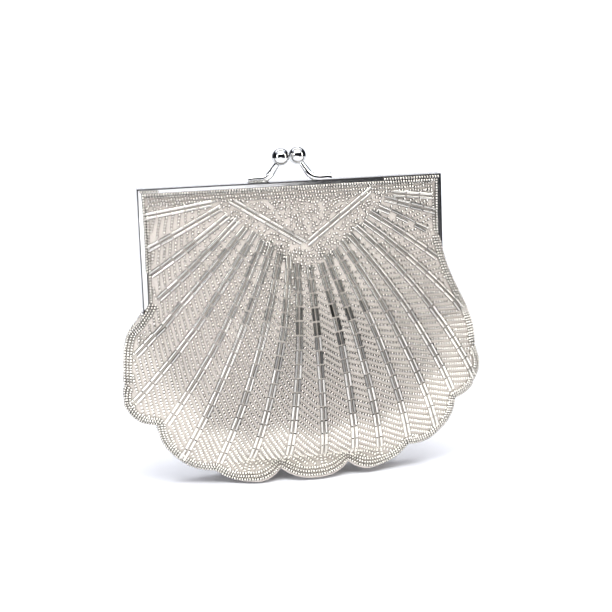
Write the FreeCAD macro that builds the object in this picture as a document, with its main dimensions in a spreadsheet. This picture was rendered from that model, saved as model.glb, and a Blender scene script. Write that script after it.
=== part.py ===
import FreeCAD, Part
import Sketcher
import math
import os

# A beaded evening bag on a three-sided kiss-lock frame, standing closed on its scalloped hem.
# Millimetres. X runs along the frame, -Y is the front, +Z is up, and the origin is on the
# floor under the middle of the bag.

doc = FreeCAD.newDocument("evening_bag")

# ---------------------------------------------------------------------------
# Driving dimensions
# ---------------------------------------------------------------------------

SIZES = {
    # steel frame: two halves of channel section, mouth towards the cloth
    "frame_width": 152.0,
    "frame_top": 148.5,
    "leg_length": 66.0,
    "channel_depth": 3.2,
    "sheet_wall": 0.5,
    "half_gap": 0.3,
    "edge_round": 0.45,
    # hinge tabs and rivets at the tips of the legs
    "tab_radius": 3.0,
    "tab_gap": 0.2,
    "tab_relief": 0.5,
    "rivet_radius": 1.0,
    "rivet_clearance": 0.05,
    "rivet_head_radius": 1.9,
    "rivet_head_height": 0.6,
    "rivet_head_gap": 0.05,
    # kiss-lock clasp
    "ball_radius": 4.35,
    "ball_gap": 0.3,
    "ball_height": 12.1,
    "ball_lean": 2.0,
    "arm_foot_end": 20.6,
    "arm_bend_start": 14.5,
    "arm_bend_radius": 6.5,
    "arm_bend_angle": 60.0,
    "arm_axis_height": 1.1,
    "arm_foot_tall": 2.1,
    "arm_foot_wide": 1.75,
    "arm_neck_tall": 1.3,
    "arm_neck_wide": 1.2,
    # soft layers
    "panel_thick": 1.6,
    "cloth_thick": 0.8,
    "lining_thick": 0.3,
    "layer_gap": 0.15,
    "cord_radius": 0.55,
    "lining_gap": 0.4,
    "seam_gap": 0.1,
    "body_gap": 0.3,
    "mouth_gap": 0.5,
    # fold: where the panels bend when the frame opens
    "open_angle": 45.0,
    "fold_spare_angle": 3.0,
    # bottom seam, and the rim of the pouch below the hinge
    "seam_height": 12.0,
    "rim_drop": 5.0,
    # scalloped skirt and its beaded edging
    "skirt_base_overhang": -16.0,
    "skirt_base_crown": 18.0,
    "skirt_flare_height": 5.0,
    "skirt_flare_crown": 9.5,
    "edging_height": 3.4,
    "edging_thick": 2.8,
    "scallop_cusp_near": 17.0,
    "scallop_cusp_far": 45.0,
    "scallop_cusp_depth": 2.4,
}

# The outline of the pouch, as level cuts from the bottom seam up to the rim under the hinge: the
# name of the cut, how far up it lies (0 at the seam, 1 at the rim), how far it reaches past the
# side of the frame, and how far its crown stands in front of the middle plane.
POUCH_LEVELS = [
    ("seam", 0.0, -6.0, 3.0),
    ("underside", 0.04, -3.0, 9.0),
    ("low", 0.14, 2.0, 15.5),
    ("haunch", 0.33, 9.0, 20.8),
    ("belly", 0.6, 13.5, 24.0),
    ("waist", 0.83, 14.0, 24.5),
    ("rim", 1.0, 11.0, 23.0),
]
# The panels above it: how far up the cut lies (0 at the hinge, 1 at the frame), and its crown.
CHEST_LEVELS = [
    ("fold", -0.03, 22.3),
    ("breast", 0.19, 18.8),
    ("chest", 0.4, 14.6),
    ("yoke", 0.62, 10.4),
    ("neck", 0.83, 6.9),
]

sheet = doc.addObject("Spreadsheet::Sheet", "dims")
for level, share, overhang, crown in POUCH_LEVELS:
    SIZES[level + "_share"] = share
    SIZES[level + "_overhang"] = overhang
    SIZES[level + "_crown"] = crown
for level, share, crown in CHEST_LEVELS:
    SIZES[level + "_share"] = share
    SIZES[level + "_crown"] = crown
for row, (name, value) in enumerate(SIZES.items(), start=1):
    sheet.set(f"A{row}", name)
    sheet.set(f"B{row}", str(value))
    sheet.setAlias(f"B{row}", name)
doc.recompute()


def size(name):
    """A driving dimension, read back from the sheet."""
    return float(getattr(sheet, name))


def worked_out(expression):
    """The present value of an expression on the sheet."""
    return float(sheet.evalExpression(expression))


# Lengths that follow from the driving ones, written as expressions on the sheet
HALF_WIDTH = "dims.frame_width / 2"
HINGE_Z = "(dims.frame_top - dims.leg_length + dims.tab_radius)"
CHANNEL_FOOT_Z = f"({HINGE_Z} + dims.tab_radius + dims.tab_relief)"
NEAR_Y = "dims.half_gap / 2"
CHANNEL_WIDTH = ("(2 * dims.sheet_wall + dims.cloth_thick + dims.lining_thick"
                 " + 2 * dims.cord_radius + 4 * dims.layer_gap)")
FAR_Y = f"({NEAR_Y} + {CHANNEL_WIDTH})"
MOUTH_X = "(dims.frame_width / 2 - dims.channel_depth)"
MOUTH_Z = "(dims.frame_top - dims.channel_depth)"
CLOTH_FAR_Y = f"({FAR_Y} - dims.sheet_wall - dims.layer_gap)"
CLOTH_NEAR_Y = f"({CLOTH_FAR_Y} - dims.cloth_thick)"
LINING_FAR_Y = f"({CLOTH_NEAR_Y} - dims.layer_gap)"
LINING_NEAR_Y = f"({LINING_FAR_Y} - dims.lining_thick)"
CORD_Y = f"({NEAR_Y} + dims.sheet_wall + dims.layer_gap + dims.cord_radius)"
BALL_X = "(dims.ball_radius + dims.ball_gap / 2)"
CHEST_WIDTH = f"({MOUTH_X} - dims.mouth_gap)"
CHEST_TOP_Z = f"({MOUTH_Z} - dims.mouth_gap)"
RIM_Z = f"({HINGE_Z} - dims.rim_drop)"


def pouch_height(level):
    return f"(dims.seam_height + dims.{level}_share * ({RIM_Z} - dims.seam_height))"


def pouch_half_width(level):
    return f"({HALF_WIDTH} + dims.{level}_overhang)"


def chest_height(level):
    return f"({HINGE_Z} + dims.{level}_share * ({CHEST_TOP_Z} - {HINGE_Z}))"


finished = {}


# ---------------------------------------------------------------------------
# Helpers
# ---------------------------------------------------------------------------

def bind(obj, expressions):
    """Tie properties of an object to expressions on the sheet."""
    for prop, expression in expressions.items():
        obj.setExpression(prop, expression)
    return obj


def box(name, low, high):
    """A box between two corners, each a triple of expressions."""
    made = doc.addObject("Part::Box", name)
    for letter, prop, start, stop in zip("xyz", ("Length", "Width", "Height"), low, high):
        bind(made, {prop: f"({stop}) - ({start})", "Placement.Base." + letter: start})
    return made


def rod_along_x(name, radius, start, length, centre_y, centre_z):
    """A round bar lying along X."""
    made = doc.addObject("Part::Cylinder", name)
    made.Placement.Rotation = FreeCAD.Rotation(FreeCAD.Vector(0, 1, 0), 90)
    return bind(made, {
        "Radius": radius,
        "Height": length,
        "Placement.Base.x": start,
        "Placement.Base.y": centre_y,
        "Placement.Base.z": centre_z,
    })


def combine(kind, name, base, tool):
    made = doc.addObject("Part::" + kind, name)
    made.Base = base
    made.Tool = tool
    return made


def join(name, pieces):
    made = doc.addObject("Part::MultiFuse", name)
    made.Shapes = pieces
    return made


def finish(node, obj):
    """Name a finished sub-part; the name is also its file's name."""
    obj.Label = node
    finished[node] = obj
    return obj


def mirrored(name, source):
    """The same piece on the other side of the middle plane, facing the back."""
    made = doc.addObject("Part::Mirroring", name)
    made.Source = source
    made.Base = FreeCAD.Vector(0, 0, 0)
    made.Normal = FreeCAD.Vector(0, 1, 0)
    return made


def crescent(name, height, half_width, edge, crown, thickness):
    """A level cut of a front layer: two equal arcs, one a layer's thickness behind the other.

    edge and crown say how far the front face stands forward at its ends and in its middle.
    """
    made = doc.addObject("Sketcher::SketchObject", name)
    bind(made, {"Placement.Base.z": height})
    # start the sketch near its solution, so that the solver has little to do
    reach, front, middle, depth = map(worked_out, (half_width, edge, crown, thickness))
    sag = middle - front
    radius = (reach ** 2 + sag ** 2) / (2 * sag)
    turn = math.asin(reach / radius)
    up = FreeCAD.Vector(0, 0, 1)
    for back in (0, depth):
        centre = FreeCAD.Vector(0, radius - middle + back, 0)
        circle = Part.Circle(centre, up, radius)
        made.addGeometry(Part.ArcOfCircle(circle, -math.pi / 2 - turn, -math.pi / 2 + turn))
    for side in (1, -1):
        outer = FreeCAD.Vector(side * reach, -front, 0)
        inner = FreeCAD.Vector(side * reach, -front + depth, 0)
        made.addGeometry(Part.LineSegment(outer, inner))
    outer_arc, inner_arc, right_end, left_end = range(4)
    start, end = 1, 2
    origin, y_axis = -1, -2
    made.addConstraint([
        Sketcher.Constraint("Coincident", outer_arc, end, right_end, start),
        Sketcher.Constraint("Coincident", inner_arc, end, right_end, end),
        Sketcher.Constraint("Coincident", outer_arc, start, left_end, start),
        Sketcher.Constraint("Coincident", inner_arc, start, left_end, end),
        Sketcher.Constraint("Symmetric", outer_arc, start, outer_arc, end, y_axis),
        Sketcher.Constraint("Symmetric", inner_arc, start, inner_arc, end, y_axis),
        Sketcher.Constraint("Vertical", right_end),
        Sketcher.Constraint("Equal", outer_arc, inner_arc),
    ])
    driven = {
        "reach": (Sketcher.Constraint("DistanceX", origin, 1, outer_arc, end, reach), half_width),
        "front": (Sketcher.Constraint("DistanceY", outer_arc, end, origin, 1, front), edge),
        "depth": (Sketcher.Constraint("DistanceY", right_end, start, right_end, end, depth),
                  thickness),
        "bow": (Sketcher.Constraint("Radius", outer_arc, radius),
                f"(({half_width})^2 + (({crown}) - ({edge}))^2) / (2 * (({crown}) - ({edge})))"),
    }
    for label, (constraint, expression) in driven.items():
        index = made.addConstraint(constraint)
        made.renameConstraint(index, label)
        made.setExpression("Constraints." + label, expression)
    return made


def loft(name, sections):
    made = doc.addObject("Part::Loft", name)
    made.Sections = sections
    made.Solid = True
    made.Ruled = False
    return made


# ---------------------------------------------------------------------------
# Frame halves
# ---------------------------------------------------------------------------

def frame_half(side, forward):
    """One half of the frame: channel, hinge tabs and rivet holes.

    forward is -1 for the front half and 1 for the back half. The front half's tabs are in the
    plane of its outer wall, and the back half's lie inside them.
    """
    name = side + "_frame"
    low_y, high_y = (f"-{FAR_Y}", f"-{NEAR_Y}") if forward < 0 else (NEAR_Y, FAR_Y)
    blank = box(name + "_blank", (f"-{HALF_WIDTH}", low_y, CHANNEL_FOOT_Z),
                (HALF_WIDTH, high_y, "dims.frame_top"))
    doc.recompute()
    rounded = doc.addObject("Part::Fillet", name + "_rounded")
    rounded.Base = blank
    rounded.Edges = [
        (index, size("edge_round"), size("edge_round"))
        for index, edge in enumerate(blank.Shape.Edges, start=1)
        if on_outline(edge)
    ]
    window = box(name + "_window", (f"-{MOUTH_X}", "-dims.frame_width", "0"),
                 (MOUTH_X, "dims.frame_width", MOUTH_Z))
    slot = box(name + "_slot",
               (f"-({HALF_WIDTH} - dims.sheet_wall)", f"({low_y}) + dims.sheet_wall", "0"),
               (f"{HALF_WIDTH} - dims.sheet_wall", f"({high_y}) - dims.sheet_wall",
                "dims.frame_top - dims.sheet_wall"))
    opened = combine("Cut", name + "_opened", rounded, window)
    channel = combine("Cut", name + "_hollow", opened, slot)
    pieces = [channel]
    inset = "0" if forward < 0 else "(dims.sheet_wall + dims.tab_gap)"
    bores = []
    for end, sign in (("left", -1), ("right", 1)):
        outer_x = f"({HALF_WIDTH} - {inset})"
        inner_x = f"({outer_x} - dims.sheet_wall)"
        start_x = inner_x if sign > 0 else f"-{outer_x}"
        stop_x = outer_x if sign > 0 else f"-{inner_x}"
        tab = f"{name}_{end}"
        pieces.append(rod_along_x(tab + "_eye", "dims.tab_radius", start_x, "dims.sheet_wall",
                                  "0", HINGE_Z))
        pieces.append(box(tab + "_neck", (start_x, low_y, HINGE_Z),
                          (stop_x, high_y, f"{CHANNEL_FOOT_Z} + dims.tab_relief")))
        if forward > 0:
            # the joggle that carries the inner tab out to the channel's wall
            web_stop = HALF_WIDTH if sign > 0 else f"-{inner_x}"
            web_start = inner_x if sign > 0 else f"-{HALF_WIDTH}"
            pieces.append(box(tab + "_joggle", (web_start, low_y, CHANNEL_FOOT_Z),
                              (web_stop, high_y, f"{CHANNEL_FOOT_Z} + dims.sheet_wall")))
        bores.append(rod_along_x(tab + "_bore", "dims.rivet_radius + dims.rivet_clearance",
                                 f"({start_x}) - dims.sheet_wall", "3 * dims.sheet_wall",
                                 "0", HINGE_Z))
    bored = combine("Cut", name + "_bored", join(name + "_joined", pieces),
                    join(name + "_bores", bores))
    return finish(name + "_channel", bored)


def on_outline(edge):
    """True for the edges along the outside of a frame half, and across its two top corners."""
    half = size("frame_width") / 2
    middle = edge.CenterOfMass
    at_side = abs(abs(middle.x) - half) < 1e-6
    at_top = abs(middle.z - size("frame_top")) < 1e-6
    along_foot = max(vertex.Z for vertex in edge.Vertexes) < size("frame_top") - 1e-6
    return (at_side or at_top) and not along_foot


frame_half("front", -1)
frame_half("back", 1)

# Rivets: the shank fills both tabs with a running clearance, and has a head at each end
for end, sign in (("left", -1), ("right", 1)):
    name = "hinge_rivet_" + end
    outside = f"({HALF_WIDTH} + dims.rivet_head_gap)"
    inside = f"({HALF_WIDTH} - 2 * dims.sheet_wall - dims.tab_gap - dims.rivet_head_gap)"
    head_out = f"({outside} + dims.rivet_head_height)"
    head_in = f"({inside} - dims.rivet_head_height)"
    if sign > 0:
        shank_start, outer_start, inner_start = head_in, outside, head_in
    else:
        shank_start, outer_start, inner_start = f"-{head_out}", f"-{head_out}", f"-{inside}"
    shank = rod_along_x(name + "_shank", "dims.rivet_radius", shank_start,
                        f"{head_out} - {head_in}", "0", HINGE_Z)
    outer_head = rod_along_x(name + "_outer_head", "dims.rivet_head_radius", outer_start,
                             "dims.rivet_head_height", "0", HINGE_Z)
    inner_head = rod_along_x(name + "_inner_head", "dims.rivet_head_radius", inner_start,
                             "dims.rivet_head_height", "0", HINGE_Z)
    finish(name, join(name + "_joined", [shank, outer_head, inner_head]))


# ---------------------------------------------------------------------------
# Kiss-lock clasp: each ball leans over the other half, so that the two lock
# ---------------------------------------------------------------------------

def arm_station(along):
    """Centre and direction of the arm's axis, in its own plane, at a length from its foot."""
    foot = size("arm_foot_end") - size("arm_bend_start")
    radius = size("arm_bend_radius")
    turn = math.radians(size("arm_bend_angle"))
    bend = radius * turn
    angle = turn * min(max((along - foot) / bend, 0), 1)
    x = size("arm_foot_end") - min(along, foot) - radius * math.sin(angle)
    height = radius * (1 - math.cos(angle))
    past = max(along - foot - bend, 0)
    return x - past * math.cos(angle), height + past * math.sin(angle), angle


def clasp_side(side, forward):
    """The arm and ball on one half: right and front, or left and back."""
    name = side + "_clasp"
    foot_y = worked_out(f"({NEAR_Y} + {FAR_Y}) / 2")
    rise = size("ball_height") - size("arm_axis_height")
    lean = math.atan2(foot_y + size("ball_lean"), rise)
    turned = FreeCAD.Rotation(FreeCAD.Vector(0, 0, 1), 0 if forward < 0 else 180)
    reach = math.hypot(rise, foot_y + size("ball_lean"))
    ball_x = size("ball_radius") + size("ball_gap") / 2

    bend = size("arm_bend_radius") * math.radians(size("arm_bend_angle"))
    to_bend = size("arm_foot_end") - size("arm_bend_start") + bend
    start_x, start_height, _ = arm_station(to_bend)
    straight = math.hypot(start_x - ball_x, reach - start_height) - size("ball_radius") / 2
    total = to_bend + straight
    sections = []
    steps = 9
    for step in range(steps + 1):
        share = step / steps
        x, height, angle = arm_station(total * share)
        taper = min(max((total * share - to_bend + bend) / (bend + straight), 0), 1)
        section = doc.addObject("Part::Ellipse", f"{name}_section_{step}")
        bind(section, {
            "MajorRadius": f"dims.arm_foot_tall + (dims.arm_neck_tall - dims.arm_foot_tall)"
                           f" * {taper}",
            "MinorRadius": f"dims.arm_foot_wide + (dims.arm_neck_wide - dims.arm_foot_wide)"
                           f" * {taper}",
        })
        up = FreeCAD.Vector(0, math.sin(lean), math.cos(lean))
        outward = FreeCAD.Vector(1, 0, 0)
        tangent = up * math.sin(angle) - outward * math.cos(angle)
        normal = up * math.cos(angle) + outward * math.sin(angle)
        place = FreeCAD.Vector(0, -foot_y, size("frame_top") + size("arm_axis_height"))
        place = place + outward * x + up * height
        axes = FreeCAD.Rotation(normal, tangent.cross(normal), tangent, "XZY")
        section.Placement = FreeCAD.Placement(turned.multVec(place), turned * axes)
        sections.append(section)
    bar = loft(name + "_bar", sections)

    ball = doc.addObject("Part::Sphere", name + "_sphere")
    bind(ball, {
        "Radius": "dims.ball_radius",
        "Placement.Base.x": f"{-forward} * {BALL_X}",
        "Placement.Base.y": f"{-forward} * dims.ball_lean",
        "Placement.Base.z": "dims.frame_top + dims.ball_height",
    })
    below = box(name + "_below",
                ("-dims.frame_width", "-dims.frame_width", "0"),
                ("dims.frame_width", "dims.frame_width", "dims.frame_top"))
    seated = combine("Cut", name + "_seated", bar, ball)
    finish(side + "_clasp_arm", combine("Cut", name + "_flat_foot", seated, below))
    finish(side + "_clasp_ball", ball)


clasp_side("front", -1)
clasp_side("back", 1)

# ---------------------------------------------------------------------------
# Paper cords that wedge the cloth in the channels
# ---------------------------------------------------------------------------

CORD_X = f"({HALF_WIDTH} - dims.sheet_wall - dims.layer_gap - dims.cord_radius)"
CORD_TOP_Z = "(dims.frame_top - dims.sheet_wall - dims.layer_gap - dims.cord_radius)"
for end, sign in (("left", -1), ("right", 1)):
    upright = doc.addObject("Part::Cylinder", "front_cord_" + end + "_bar")
    bind(upright, {
        "Radius": "dims.cord_radius",
        "Height": f"{CORD_TOP_Z} - {CHANNEL_FOOT_Z} - 2 * dims.sheet_wall",
        "Placement.Base.x": f"{sign} * {CORD_X}",
        "Placement.Base.y": f"-{CORD_Y}",
        "Placement.Base.z": f"{CHANNEL_FOOT_Z} + 2 * dims.sheet_wall",
    })
    finish("front_cord_" + end, upright)
CORD_REACH = f"({CORD_X} - dims.cord_radius - dims.layer_gap)"
finish("front_cord_top", rod_along_x("front_cord_top_bar", "dims.cord_radius",
                                     f"-{CORD_REACH}", f"2 * {CORD_REACH}",
                                     f"-{CORD_Y}", CORD_TOP_Z))

# ---------------------------------------------------------------------------
# Soft layers of the front: panel and lining above the fold, fold, pouch, skirt
# ---------------------------------------------------------------------------


def below_fold(name, shift):
    """Everything below the slanted plane through the hinge, moved down by shift."""
    angle = "(dims.open_angle + dims.fold_spare_angle)"
    tool = doc.addObject("Part::Box", name)
    tool.Placement.Rotation = FreeCAD.Rotation(
        FreeCAD.Vector(1, 0, 0), -size("open_angle") - size("fold_spare_angle"))
    behind = CHANNEL_WIDTH
    return bind(tool, {
        "Length": "2 * dims.frame_width",
        "Width": f"dims.frame_width + {behind}",
        "Height": "dims.frame_width",
        "Placement.Base.x": "-dims.frame_width",
        "Placement.Base.y": f"-dims.frame_width * cos({angle}) - (dims.frame_width + {shift})"
                            f" * sin({angle})",
        "Placement.Base.z": f"{HINGE_Z} + dims.frame_width * sin({angle})"
                            f" - (dims.frame_width + {shift}) * cos({angle})",
    })


def chest_layer(name, thickness, inset, edge, setback):
    """A layer above the fold, flat along its edges and setback inside the frame's mouth."""
    sections = []
    for level, *_ in CHEST_LEVELS:
        sections.append(crescent(f"{name}_{level}", chest_height(level),
                                 f"{CHEST_WIDTH} - {setback}", edge,
                                 f"dims.{level}_crown - {inset}", thickness))
    sections.append(crescent(f"{name}_mouth", f"{CHEST_TOP_Z} - {setback}",
                             f"{CHEST_WIDTH} - {setback}", edge,
                             f"({edge}) + dims.layer_gap", thickness))
    return loft(name + "_dome", sections)


def turned_in(name, far_y, near_y, setback):
    """The flat edge of a layer that is glued into the channel, on three sides."""
    reach = f"({HALF_WIDTH} - dims.sheet_wall - dims.layer_gap)"
    foot = f"{CHANNEL_FOOT_Z} + 2 * dims.sheet_wall"
    plate = box(name + "_plate", (f"-{reach}", f"-{far_y}", foot),
                (reach, f"-{near_y}", "dims.frame_top - dims.sheet_wall - dims.layer_gap"))
    inner = f"({CHEST_WIDTH} - dims.mouth_gap - {setback})"
    gap = box(name + "_gap", (f"-{inner}", "-dims.frame_width", "0"),
              (inner, "dims.frame_width", f"{CHEST_TOP_Z} - dims.mouth_gap - {setback}"))
    return combine("Cut", name + "_edge", plate, gap)


def pouch_layer(name, thickness, inset, narrower, edge, levels):
    sections = []
    for level, *_ in levels:
        sections.append(crescent(f"{name}_{level}", pouch_height(level),
                                 f"{pouch_half_width(level)} - {narrower}", edge,
                                 f"dims.{level}_crown - {inset}", thickness))
    return sections


PANEL_EDGE = f"({CLOTH_NEAR_Y} + dims.panel_thick)"
LINING_INSET = "(dims.panel_thick + dims.lining_gap)"
soft = {}

# beaded panel and lining above the fold
for layer, thickness, inset, edge, far_y, near_y, setback in (
    ("panel", "dims.panel_thick", "0", PANEL_EDGE, CLOTH_FAR_Y, CLOTH_NEAR_Y, "0"),
    ("lining", "dims.lining_thick", LINING_INSET, LINING_FAR_Y, LINING_FAR_Y, LINING_NEAR_Y,
     "dims.mouth_gap"),
):
    name = f"front_{layer}_upper"
    dome = chest_layer(name, thickness, inset, edge, setback)
    kept = combine("Cut", name + "_above_fold", dome, below_fold(name + "_fold_tool", "0"))
    soft[layer + "_upper"] = join(name + "_joined",
                                  [kept, turned_in(name, far_y, near_y, setback)])

    name = f"front_{layer}_fold"
    rim_share = f"(1 - ({CHEST_WIDTH} / {pouch_half_width('rim')})^2)"
    rim_edge = f"(dims.panel_thick + (dims.rim_crown - dims.panel_thick) * {rim_share}) - {inset}"
    sections = [crescent(name + "_rim", RIM_Z, CHEST_WIDTH, rim_edge,
                         f"dims.rim_crown - {inset}", thickness)]
    for level in ("breast", "chest"):
        sections.append(crescent(f"{name}_{level}", chest_height(level), CHEST_WIDTH,
                                 f"({edge}) + dims.body_gap",
                                 f"dims.{level}_crown - {inset}", thickness))
    soft[layer + "_fold"] = combine("Common", name + "_below_plane", loft(name + "_dome", sections),
                                    below_fold(name + "_fold_tool", "dims.body_gap"))

# beaded pouch and its lining below the fold
soft["panel_lower"] = loft("front_panel_lower_dome", pouch_layer(
    "front_panel_lower", "dims.panel_thick", "0", "0", "(dims.panel_thick + dims.seam_gap)",
    POUCH_LEVELS))
soft["lining_lower"] = loft("front_lining_lower_dome", pouch_layer(
    "front_lining_lower", "dims.lining_thick", LINING_INSET, "(2 * dims.panel_thick)",
    "(dims.lining_thick + dims.seam_gap)", POUCH_LEVELS[1:]))

# the skirt hangs from the bottom seam and flares out to the floor
SKIRT_TOP_Z = "(dims.seam_height - dims.seam_gap)"
SKIRT_BASE_X = f"({HALF_WIDTH} + dims.skirt_base_overhang)"


def skirt_section(name, height, half_width, crown, proud, thickness):
    return crescent(name, height, half_width, f"(dims.panel_thick + dims.seam_gap + {proud})",
                    f"{crown} + {proud}", thickness)


EDGING_PROUD = "(dims.edging_thick - dims.panel_thick)"
skirt_parts = {}
for part, proud, thickness in (("skirt", "0", "dims.panel_thick"),
                               ("edging", EDGING_PROUD, "dims.edging_thick")):
    skirt_parts[part] = loft(f"front_{part}_dome", [
        skirt_section(f"front_{part}_base", "0", SKIRT_BASE_X,
                      "dims.skirt_base_crown", proud, thickness),
        skirt_section(f"front_{part}_flare", "dims.skirt_flare_height",
                      f"({SKIRT_BASE_X} + {pouch_half_width('seam')}) / 2",
                      "dims.skirt_flare_crown", proud, thickness),
        skirt_section(f"front_{part}_top", SKIRT_TOP_Z, pouch_half_width("seam"),
                      "dims.seam_crown", proud, thickness),
    ])

ALL_ROUND = "dims.frame_width"
below_edging = box("edging_slab", (f"-{ALL_ROUND}", f"-{ALL_ROUND}", "-1"),
                   (ALL_ROUND, ALL_ROUND, "dims.edging_height"))
below_skirt = box("skirt_slab", (f"-{ALL_ROUND}", f"-{ALL_ROUND}", "-1"),
                  (ALL_ROUND, ALL_ROUND, "dims.edging_height + dims.seam_gap"))
soft["scallop_skirt"] = combine("Cut", "front_skirt_above", skirt_parts["skirt"], below_skirt)

# cusps between the scallops, cut into the edging from below
cusps = []
for reach in ("near", "far"):
    for end, sign in (("left", -1), ("right", 1)):
        cusp = doc.addObject("Part::Box", f"cusp_{reach}_{end}")
        cusp.Placement.Rotation = FreeCAD.Rotation(FreeCAD.Vector(0, 1, 0), 45)
        side_length = "(dims.scallop_cusp_depth * sqrt(2))"
        bind(cusp, {
            "Length": side_length,
            "Width": "2 * dims.frame_width",
            "Height": side_length,
            "Placement.Base.x": f"{sign} * dims.scallop_cusp_{reach} - dims.scallop_cusp_depth",
            "Placement.Base.y": "-dims.frame_width",
            "Placement.Base.z": "0",
        })
        cusps.append(cusp)
edging_band = combine("Common", "front_edging_band", skirt_parts["edging"], below_edging)
soft["scallop_edging"] = combine("Cut", "front_edging_cusped", edging_band,
                                 join("edging_cusps", cusps))

# ---------------------------------------------------------------------------
# Names, and the back: every soft layer and cord again, mirrored
# ---------------------------------------------------------------------------

for piece, obj in soft.items():
    finish("front_" + piece, obj)
    finish("back_" + piece, mirrored("back_" + piece + "_mirror", obj))
for end in ("left", "right", "top"):
    source = finished["front_cord_" + end]
    finish("back_cord_" + end, mirrored("back_cord_" + end + "_mirror", source))

doc.recompute()

# ---------------------------------------------------------------------------
# Checks and export
# ---------------------------------------------------------------------------

for obj in doc.Objects:
    if "Invalid" in obj.State or "Error" in obj.State:
        raise RuntimeError(f"{obj.Name} failed: {obj.State}")
os.makedirs("parts", exist_ok=True)
for node, obj in finished.items():
    if obj.Shape.isNull() or not obj.Shape.isValid():
        raise RuntimeError(f"{node} has no valid shape")
for node, obj in finished.items():
    bounds = obj.Shape.BoundBox
    print(f"{node}: {len(obj.Shape.Solids)} solid, {obj.Shape.Volume:.1f} mm3, "
          f"x {bounds.XMin:.1f} to {bounds.XMax:.1f}, y {bounds.YMin:.1f} to {bounds.YMax:.1f}, "
          f"z {bounds.ZMin:.1f} to {bounds.ZMax:.1f}")
    obj.Shape.exportStep(f"parts/{node}.step")
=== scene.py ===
"""Evening bag: two beaded scallop-shell panels hung in a two-half plated frame with a kiss-lock clasp."""
import math

import bmesh
import bpy
import numpy as np
from mathutils import Matrix, Vector
from mathutils.geometry import delaunay_2d_cdt


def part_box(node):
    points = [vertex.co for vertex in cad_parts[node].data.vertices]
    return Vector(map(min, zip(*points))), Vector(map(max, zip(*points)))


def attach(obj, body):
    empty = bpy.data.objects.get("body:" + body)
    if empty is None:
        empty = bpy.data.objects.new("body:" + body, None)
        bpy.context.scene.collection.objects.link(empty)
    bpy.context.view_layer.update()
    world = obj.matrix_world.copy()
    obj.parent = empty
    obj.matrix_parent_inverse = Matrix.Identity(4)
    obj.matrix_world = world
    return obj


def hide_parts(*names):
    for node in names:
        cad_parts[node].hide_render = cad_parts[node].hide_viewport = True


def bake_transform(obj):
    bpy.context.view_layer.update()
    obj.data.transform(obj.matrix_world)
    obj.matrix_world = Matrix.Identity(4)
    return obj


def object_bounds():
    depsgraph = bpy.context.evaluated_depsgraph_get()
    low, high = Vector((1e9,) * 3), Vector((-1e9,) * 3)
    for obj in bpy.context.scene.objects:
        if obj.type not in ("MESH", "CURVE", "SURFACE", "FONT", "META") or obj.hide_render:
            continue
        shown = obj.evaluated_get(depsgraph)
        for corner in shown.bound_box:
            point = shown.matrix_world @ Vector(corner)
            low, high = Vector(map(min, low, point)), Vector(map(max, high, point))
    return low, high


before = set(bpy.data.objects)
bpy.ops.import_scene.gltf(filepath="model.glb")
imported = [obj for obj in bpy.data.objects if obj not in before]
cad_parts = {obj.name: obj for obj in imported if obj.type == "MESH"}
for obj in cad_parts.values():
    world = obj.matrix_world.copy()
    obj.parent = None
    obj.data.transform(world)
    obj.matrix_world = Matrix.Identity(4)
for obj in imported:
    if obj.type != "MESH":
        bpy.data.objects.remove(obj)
cad_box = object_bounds()

# ---------------------------------------------------------------- sizes, in millimetres
MM = 0.001
channel_low, channel_high = (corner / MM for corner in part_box("front_frame_channel"))
FRAME_HALF = channel_high.x
FRAME_TOP = channel_high.z
FACE_DEPTH = -channel_low.y       # how far the face of the channel stands in front of the parting plane
FACE_WIDTH = 3.2
MOUTH = FRAME_HALF - FACE_WIDTH   # half width between the open mouths of the two legs
TUCK = 1.5                        # how far cloth runs on into the channel
TUCK_DEPTH = 2.9                  # where the cloth lies in the channel, in front of the parting plane
LEG_COVER = 4.35                  # where cloth lies over the face of a leg
SPILL_DEPTH = 4.75                # where the beads' middles lie that spill over the face of the channel
LEFT_ENTRY = 90                   # heights above which the side edges run inside the legs
RIGHT_ENTRY = 121
EDGE_LOW = 77                     # height from which the side edges turn back towards the legs
SEED_WIDTH = 1.55
SEED_LENGTH = 1.15
SEED_PITCH = 1.38
EDGE_PITCH = 1.3                  # pitch of the seeds at the turned edges and over the frame
HEM_PITCH = 1.32
BUGLE_WIDTH = 1.55
BUGLE_LENGTH = 6.35
BUGLE_PITCH = 6.85
STRAND_GAP = 1.02                 # half the distance between the two strands of a rib
ROW_STEP = 3.1                    # distance between seed rows, along a rib
ROW_SLANT = 0.93                  # how far a row drops along the rib, per width of the gap
CLOTH = 0.4
FOLD_TOP = 15.5                   # height of the fold above the hem, where the middle ribs end
FOLD_SIDES = (-32, 40)            # where it begins and ends from left to right
FLOOR_LIGHT_DEPTH = 23.0                # beads this near to the hem are painted warm white, painted light standing in for light from the floor
PLAIN_LIGHT = 0.45                # brightness of the beads sewn at random and on the turned edges
GREY_MIDDLE = (14, 70)            # where the beads are painted greyest, a painted dark reflection, and how far the grey reaches from there
GREY_REACH = (33, 34)
HEM_ROWS = (0.6, 2.0, 3.4)        # distances of the hem's bead rows from the cut edge
HEM_MARGIN = HEM_ROWS[-1] + 0.9   # distance from the cut edge at which other seeds stop
SIDES = {"front": 1, "back": -1}  # which way each panel faces


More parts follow.
